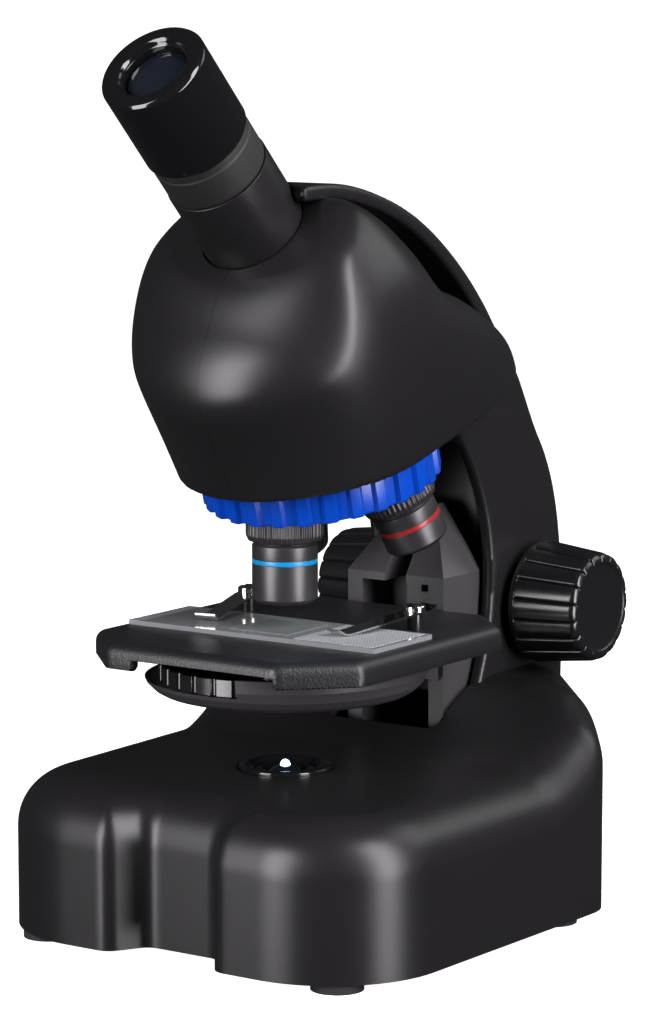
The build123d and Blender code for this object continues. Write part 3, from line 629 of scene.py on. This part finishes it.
def make_handle():
    path = path_points(HANDLE_TOP)
    along = np.gradient(path, axis=0)
    along /= np.hypot(*along.T)[:, None]
    middle = path + HANDLE_THICK / 2 * np.stack([along[:, 1], -along[:, 0]], 1)

    def field(x, y, z):
        band = to_path(y, z, middle) - HANDLE_THICK / 2
        strap = common(band, np.abs(x) - HANDLE_HALF, 1.2)
        across = in_tube(y, z)[0]
        return np.maximum(strap, TUBE_RADIUS + HANDLE_GAP - np.hypot(x, across))

    points, faces = skin(field, (-18, -14, 140), (18, 84, 196), 0.9)
    link("carry_handle_skin", as_mesh("carry_handle_skin", points, faces), GRAPHITE, "frame",
         ["carry_handle"])


# ---- arm --------------------------------------------------------------------------------
ARM_FRONT = [(57.5, 40), (60.8, 54), (64.2, 63), (67.3, 77.6), (66.8, 94), (60.7, 110.8),
             (51.3, 124.3), (44.0, 132.0)]
ARM_REAR = [(80.0, 138.5), (87.5, 130.3), (95.3, 122.0), (103.0, 109.2), (107.3, 94.5), (109.3, 75),
            (109.5, 56), (109.2, 40)]
ARM_HALF, ARM_FOOT = 19.5, 50.0
POCKET_HALF, POCKET_BACK, POCKET_TOP = 16.4, 71.0, 121.0
KNOB_Y, KNOB_Z, HUB_RADIUS = 87.6, 75.4, 4.4
# the side edges are crisp in front and round off by EDGE_GAIN over EDGE_RUN towards the back
EDGE_FRONT, EDGE_GAIN, EDGE_START, EDGE_RUN = 1.4, 7.0, 78.0, 16.0


def make_arm():
    outline = np.vstack([path_points(ARM_FRONT, 40), path_points(ARM_REAR, 40)])

    def field(x, y, z):
        side = to_outline(y, z, outline)
        edge = EDGE_FRONT + EDGE_GAIN * gentle((y - EDGE_START) / EDGE_RUN)
        body = common(side, np.abs(x) - ARM_HALF, edge)
        body = np.maximum(body, in_turret(x, y, z)[1] - 0.5)
        body = np.maximum(body, ARM_FOOT - z)
        pocket = common(np.abs(x) - POCKET_HALF, y - POCKET_BACK, 4.0)
        body = common(body, -np.maximum(pocket, z - POCKET_TOP), 0.5)
        hub = np.hypot(y - KNOB_Y, z - KNOB_Z) - HUB_RADIUS
        return np.maximum(body, -hub)

    points, faces = skin(field, (-3, 40, 48), (22, 114, 140), 1.1)
    right = as_mesh("arm_right_skin", points, faces)
    right_half(right)
    left = flipped(right, "arm_left_skin")
    link("arm_right_skin", right, GRAPHITE, "frame", ["arm_right"])
    link("arm_left_skin", left, GRAPHITE, "frame", ["arm_left"])


# ---- turret and objectives --------------------------------------------------------------
RING_BOTTOM, RING_HEIGHT, RING_RADIUS, RING_FLUTES = 64.3, 9.5, 30.9, 28
RING_BORE, RING_FLOOR, FLUTE_DEPTH, FLUTED_BEYOND = 27.0, 3.0, 1.1, 25.0
APEX = np.array([0.0, 0.0, APEX_Z])


def scallop(radius, angles, height):
    wave = np.cos(RING_FLUTES * angles)
    dip = gentle(0.5 - 1.6 * wave)
    return radius - (FLUTE_DEPTH * dip if radius > FLUTED_BEYOND else 0.0)


def make_ring():
    low, high = -RING_BOTTOM, RING_HEIGHT - RING_BOTTOM
    section = [(0, low), (RING_RADIUS, low), (RING_RADIUS, high), (RING_BORE, high),
               (RING_BORE, low + RING_FLOOR), (0, low + RING_FLOOR)]
    turn_out("turret_ring_fluted", section, (tilt_x(TURRET_TILT), APEX), BLUE, "turret",
             ["turret_ring"], RING_FLUTES * 16, 0.7, scallop, 50)


COLLAR_TOP, COLLAR_END, BAND_AT = 64.0, 75.1, 79.3
COLLAR_RADIUS, BARREL_RADIUS, COLLAR_RIBS, RIB_DEPTH = 10.0, 8.4, 44, 0.28
BAND_SEAT, BAND_RADIUS, BAND_WIDTH = 8.1, 8.36, 1.2
# name, place on the turret, distance from the apex to the front end, slot of the band
OBJECTIVES = [("mid", 0, 90.6, "band_blue"), ("low", 1, 86.5, "band_red"),
              ("high", 2, 91.0, "band_yellow")]


def knurl(radius, angles, height):
    inside = -COLLAR_END + 1.2 < height < -COLLAR_TOP - 2.0 and radius > 9
    return radius - (RIB_DEPTH * gentle(0.5 + np.cos(COLLAR_RIBS * angles)) if inside else 0.0)


def make_objectives():
    for name, index, end, band_slot in OBJECTIVES:
        place = tilt_x(TURRET_TILT) @ turn_z(120 * index) @ tilt_x(-TURRET_TILT), APEX
        collar = [(7.2, -61.0), (7.2, -COLLAR_TOP), (COLLAR_RADIUS, -COLLAR_TOP),
                  (COLLAR_RADIUS, -COLLAR_TOP - 1.9), (COLLAR_RADIUS, -COLLAR_TOP - 2.3),
                  (COLLAR_RADIUS, -COLLAR_END + 1.9), (9.4, -COLLAR_END + 0.5), (8.0, -COLLAR_END)]
        band_end = -BAND_AT - BAND_WIDTH
        barrel = [(7.6, -COLLAR_END + 0.4), (7.9, -COLLAR_END - 0.3),
                  (BARREL_RADIUS, -COLLAR_END - 0.7), (BARREL_RADIUS, -BAND_AT),
                  (BAND_SEAT, -BAND_AT - 0.05), (BAND_SEAT, band_end + 0.05),
                  (BARREL_RADIUS, band_end), (BARREL_RADIUS, 1.2 - end), (8.0, 0.7 - end)]
        nose = [(7.9, 0.9 - end), (7.2, 0.15 - end), (6.6, -end), (4.6, -end), (3.7, 1.4 - end),
                (3.7, 3.6 - end), (0, 3.6 - end)]
        band = [(BAND_SEAT, -BAND_AT), (BAND_RADIUS, -BAND_AT - 0.02),
                (BAND_RADIUS, band_end + 0.02), (BAND_SEAT, band_end)]
        turn_out(f"objective_{name}_collar", collar, place, GUNMETAL, "turret",
                 [f"objective_{name}_barrel"], COLLAR_RIBS * 8, 0.25, knurl)
        turn_out(f"objective_{name}_body", barrel, place, GUNMETAL, "turret", [],
                 soften=0.12)
        turn_out(f"objective_{name}_nose", nose, place, SATIN, "turret", [],
                 soften=0.2)
        turn_out(f"objective_{name}_ring", band, place, BANDS[name], "turret",
                 [f"objective_{name}_band"], soften=0.05)


# ---- eyepiece ---------------------------------------------------------------------------
TUBE_OUT, SLEEVE_OUT, EYEPIECE_LENGTH, EYEPIECE_RADIUS = 21.0, 11.0, 25.5, 13.6


def make_eyepiece():
    tube = [(12.2, -12), (TUBE_RADIUS, -12), (TUBE_RADIUS, TUBE_OUT), (13.1, TUBE_OUT + 0.05),
            (12.2, TUBE_OUT)]
    turn_out("eyepiece_tube_turned", tube, TUBE_PLACE, GRAPHITE, "frame", ["eyepiece_tube"],
             128, 0.25)
    joint = TUBE_OUT + SLEEVE_OUT
    top = joint + EYEPIECE_LENGTH
    sleeve = [(10.6, 5), (12.1, 5), (12.1, TUBE_OUT + 0.1), (12.9, TUBE_OUT + 0.1),
              (13.15, TUBE_OUT + 0.8), (13.15, joint - 2.2), (12.9, joint - 1.8), (12.9, joint),
              (10.6, joint)]
    turn_out("eyepiece_sleeve_turned", sleeve, TUBE_PLACE, MATT, "eyepiece", ["eyepiece_sleeve"],
             128, 0.15)
    body = [(9.5, joint + 0.1), (12.8, joint + 0.1), (EYEPIECE_RADIUS, joint + 1.0),
            (EYEPIECE_RADIUS, top - 0.9), (EYEPIECE_RADIUS - 0.7, top), (9.9, top),
            (9.2, top - 0.5), (8.7, top - 1.4), (8.3, top - 1.6), (8.3, top - 4.5), (0, top - 4.6)]
    turn_out("eyepiece_body_turned", body, TUBE_PLACE, GLOSS, "eyepiece", ["eyepiece_body"],
             128)
    lens = [(0, top - 4.3)] + arc(8.2, 1.9, top - 3.9, 0, 90)
    turn_out("eye_lens_dome", lens, TUBE_PLACE, LENS, "eyepiece", ["eye_lens"],
             soften=0)


# ---- focus knobs ------------------------------------------------------------------------
KNOB_INNER, KNOB_OUTER, KNOB_FLUTES = 21.8, 41.7, 18
KNOB_RADIUS, KNOB_TAPER, KNOB_BAND, KNOB_STEPS = 16.4, 1.8, 2.0, 10
LAND_CROWN, GROOVE_DEPTH, GROOVE_HALF = 0.28, 0.75, 0.09


def groove(radius, angles, along):
    """Broad crowned lands with narrow grooves between them."""
    if radius < 12.5 or along < KNOB_INNER + KNOB_BAND:
        return np.full(angles.shape, radius)
    phase = (angles * KNOB_FLUTES / (2 * math.pi)) % 1.0
    from_edge = np.minimum(phase, 1 - phase)
    land = LAND_CROWN * (1 - (2 * (0.5 - from_edge)) ** 2) - LAND_CROWN
    return radius + land - GROOVE_DEPTH * (1 - gentle(from_edge / GROOVE_HALF))


def make_knobs():
    length = KNOB_OUTER - KNOB_INNER - 4.0
    run = [(KNOB_RADIUS - KNOB_TAPER * k / KNOB_STEPS, KNOB_INNER + 2.3 + length * k / KNOB_STEPS)
           for k in range(KNOB_STEPS + 1)]
    inner_end = [(0, KNOB_INNER), (15.6, KNOB_INNER), (16.3, KNOB_INNER + 0.7),
                 (KNOB_RADIUS, KNOB_INNER + 1.9)]
    outer_end = [(14.2, KNOB_OUTER - 0.7), (13.2, KNOB_OUTER - 0.1), (12.2, KNOB_OUTER),
                 (11.4, KNOB_OUTER - 0.5), (7.0, KNOB_OUTER - 0.85), (0, KNOB_OUTER - 0.95)]
    along_x = np.array([[0, 0, 1.0], [0, 1.0, 0], [-1.0, 0, 0]])
    place = along_x, np.array([0, KNOB_Y, KNOB_Z])
    right = turned("focus_knob_right_fluted", inner_end + run + outer_end, place,
                   KNOB_FLUTES * 20, groove, 0.35)
    left = flipped(right, "focus_knob_left_fluted")
    link("focus_knob_right_fluted", right, SATIN, "focus", ["focus_knob_right"], 50)
    link("focus_knob_left_fluted", left, SATIN, "focus", ["focus_knob_left"], 50)


# ---- stage ------------------------------------------------------------------------------
STAGE_TOP, STAGE_HALF, STAGE_FRONT, STAGE_BACK = 77.6, 41.4, -40.9, 50.5
STAGE_CORNER, STAGE_REAR_CORNER, STAGE_SKIRT = 15.4, 12.5, 6.6
STAGE_RIM, STAGE_THICK, STAGE_HOLE = 3.2, 3.4, 6.0
SLOT_LEFT, SLOT_RIGHT, SLOT_BACK, SLOT_TOP = -18.0, 25.0, -34.0, 3.9


def stage_outline(x, y):
    wide = np.abs(x)
    side = wide - STAGE_HALF
    root = math.sqrt(0.5)
    front = root * (wide - STAGE_HALF - (y - STAGE_FRONT - STAGE_CORNER))
    rear = root * (wide - STAGE_HALF + y - STAGE_BACK + STAGE_REAR_CORNER)
    outline = common(side, front, 3.5, root)
    outline = common(outline, STAGE_FRONT - y, 3.5, root)
    outline = common(outline, rear, 3.0, root)
    return common(outline, y - STAGE_BACK, 3.0, root)


def stage_field(x, y, z):
    outline = stage_outline(x, y)
    body = common(outline, z - STAGE_TOP, 3.0)
    body = common(body, STAGE_TOP - STAGE_SKIRT - z, 0.6)
    under = np.maximum(outline + STAGE_RIM, z - STAGE_TOP + STAGE_THICK)
    body = common(body, -under, 0.4)
    slot = np.maximum(np.maximum(x - SLOT_RIGHT, SLOT_LEFT - x),
                      np.maximum(y - SLOT_BACK, z - STAGE_TOP + SLOT_TOP))
    body = common(body, -slot, 0.4)
    return common(body, STAGE_HOLE - np.hypot(x, y), 0.4)


def make_stage():
    points, faces = skin(stage_field, (-44, -43, 69), (44, 53, 80), 0.9)
    link("stage_plate_skin", as_mesh("stage_plate_skin", points, faces), STAGE, "stage",
         ["stage_plate"])


# ---- lamp -------------------------------------------------------------------------------
def make_lamp():
    bezel = [(5.3, 36.5), (13.5, 36.5), (13.5, 39.5), (11.9, 39.6), (11.9, 42.7), (11.3, 43.2),
             (10.4, 43.1), (9.2, 41.6), (8.4, 41.2), (7.6, 41.7), (6.6, 41.4), (5.3, 40.4)]
    place = np.eye(3), np.zeros(3)
    turn_out("led_bezel_turned", bezel, place, GLOSS, "frame", ["led_bezel"],
             soften=0.25)
    dome = [(5.1, 38.0)] + arc(5.1, 3.4, 39.4, 0, 90)
    turn_out("led_dome", dome, place, LENS, "frame", ["led_lens"], 64, 0)
    turn_out("led_glow", arc(1.3, 1.5, 42.6, -30, 90), place, DOME, "frame", [],
             48, 0)


# ---- the CAD pieces that keep their shape ------------------------------------------------
PLAIN = {
    "arm_screws": STEEL, "base_plate": MATT, "base_screws": STEEL, "batteries": WRAP,
    "battery_contacts": STEEL, "battery_door": MATT, "battery_tray": MATT,
    "carriage_keeper": STEEL,
    "clip_posts": SATIN, "clip_screws": CHROME, "field_lens": LENS, "filter_housing": GREY,
    "filter_pivot": STEEL, "filter_wheel": SATIN, "focus_shaft": STEEL,
    "led_board": BOARD, "led_chip": CHIP, "mirror": SILVER, "mirror_mount": MATT, "pinion": BRASS,
    "rack": BRASS, "rubber_feet": RUBBER, "shaft_bush_left": BRASS, "shaft_bush_right": BRASS,
    "slide_cover": COVER, "slide_label": LABEL, "specimen_slide": SLIDE, "stage_carriage": GREY,
    "stage_clip_left": CHROME, "stage_clip_right": CHROME, "switch_housing": MATT,
    "switch_rocker": GLOSS, "turret_base": MATT, "turret_pivot": STEEL,
    "objective_low_lens": LENS, "objective_mid_lens": LENS, "objective_high_lens": LENS,
}


# keeps the head's screws inside its surface, which dips lower here than the CAD's
SCREW_SHIFT = Vector((0, -4 * MM, -9 * MM))


def dress_cad():
    """Give the plain CAD pieces their materials, and sink the head's screws."""
    for name, material in PLAIN.items():
        mesh = nodes[name].data
        mesh.materials.clear()
        mesh.materials.append(material)
    sunk = nodes["head_screws"].data.copy()
    sunk.name = "head_screws_sunk"
    sunk.materials.clear()
    sunk.transform(nodes["head_screws"].matrix_world)
    for point in sunk.vertices:
        point.co += SCREW_SHIFT
    link("head_screws_sunk", sunk, STEEL, "frame", ["head_screws"])


# ---- studio -----------------------------------------------------------------------------
# the camera's bearing, height angle and distance, and the point it is aimed at
CAMERA_AZIMUTH, CAMERA_ELEVATION, CAMERA_DISTANCE, CAMERA_LENS = 34.796, 8.1155, 0.95, 131.77
CAMERA_TARGET = (0.00814, OPTICAL_Y + 0.00566, 0.10797)
# the backdrop: half its width, how far back its wall stands, the bend's radius, and its turn
FLOOR_HALF, WALL_BACK, WALL_BEND, WALL_TOP, WALL_TURN = 6.0, 2.6, 0.8, 5.0, 34.8


def facing(azimuth, elevation):
    """Direction at these angles. Azimuth 0 is in front of the microscope, 90 at +X."""
    a, e = math.radians(azimuth), math.radians(elevation)
    return Vector((math.sin(a) * math.cos(e), -math.cos(a) * math.cos(e), math.sin(e)))


def softbox(name, azimuth, elevation, distance, width, height, power, target=(0.0, 0.0, 0.1)):
    """A soft area light, aimed at the microscope."""
    target = Vector(target)
    spot = target + distance * facing(azimuth, elevation)
    data = bpy.data.lights.new(name, "AREA")
    data.shape = "RECTANGLE"
    data.size, data.size_y, data.energy = width, height, power
    light = bpy.data.objects.new(name, data)
    light.visible_camera = False
    bpy.context.scene.collection.objects.link(light)
    light.location = spot
    light.rotation_euler = (target - spot).to_track_quat("-Z", "Y").to_euler()
    return light


def make_studio():
    floor_mesh = bpy.data.meshes.new("floor")
    start = WALL_BACK - WALL_BEND
    rows = [(-FLOOR_HALF, 0.0), (start, 0.0)]
    rows += [(start + WALL_BEND * math.sin(t), WALL_BEND - WALL_BEND * math.cos(t))
             for t in np.linspace(0.1, math.pi / 2, 12)]
    rows += [(WALL_BACK, WALL_TOP)]
    turn = math.radians(WALL_TURN)
    points, faces = [], []
    for depth, height in rows:
        for x in (-FLOOR_HALF, FLOOR_HALF):
            points.append((x * math.cos(turn) - depth * math.sin(turn),
                           x * math.sin(turn) + depth * math.cos(turn), height))
    for i in range(len(rows) - 1):
        faces.append((2 * i, 2 * i + 1, 2 * i + 3, 2 * i + 2))
    floor_mesh.from_pydata(points, [], faces)
    floor_mesh.shade_smooth()
    floor = bpy.data.objects.new("floor", floor_mesh)
    bpy.context.scene.collection.objects.link(floor)
    paper = finish("studio_paper", (0.80, 0.80, 0.81), 0.9, grain=0.01, grain_size=2.0)
    shader = paper.node_tree.nodes["Principled BSDF"]
    shader.inputs["Emission Color"].default_value = (1, 1, 1, 1)
    shader.inputs["Emission Strength"].default_value = 1.0
    floor_mesh.materials.append(paper)
    floor.visible_glossy = False
    floor.visible_diffuse = False

    softbox("right_box", 84, 16, 1.0, 0.38, 1.4, 25)
    softbox("left_box", -16, 8, 1.0, 0.45, 0.9, 17)
    softbox("rear_box", 142, 35, 1.4, 0.8, 0.8, 5)
    scene_world = bpy.data.worlds.new("studio")
    bpy.context.scene.world = scene_world
    scene_world.use_nodes = True
    background = scene_world.node_tree.nodes["Background"]
    background.inputs["Color"].default_value = (0.9, 0.93, 1.0, 1)
    background.inputs["Strength"].default_value = 0.03
    bpy.context.scene.view_settings.view_transform = "Standard"

    data = bpy.data.cameras.new("camera")
    data.lens, data.sensor_width, data.sensor_fit = CAMERA_LENS, 36.0, "AUTO"
    data.clip_start, data.clip_end = 0.05, 30.0
    camera = bpy.data.objects.new("camera", data)
    bpy.context.scene.collection.objects.link(camera)
    back = facing(CAMERA_AZIMUTH, CAMERA_ELEVATION)
    camera.location = Vector(CAMERA_TARGET) + CAMERA_DISTANCE * back
    camera.rotation_euler = (-back).to_track_quat("-Z", "Y").to_euler()
    bpy.context.scene.camera = camera


make_base()
make_head()
make_handle()
make_arm()
make_ring()
make_objectives()
make_eyepiece()
make_knobs()
make_stage()
make_lamp()
dress_cad()
make_studio()
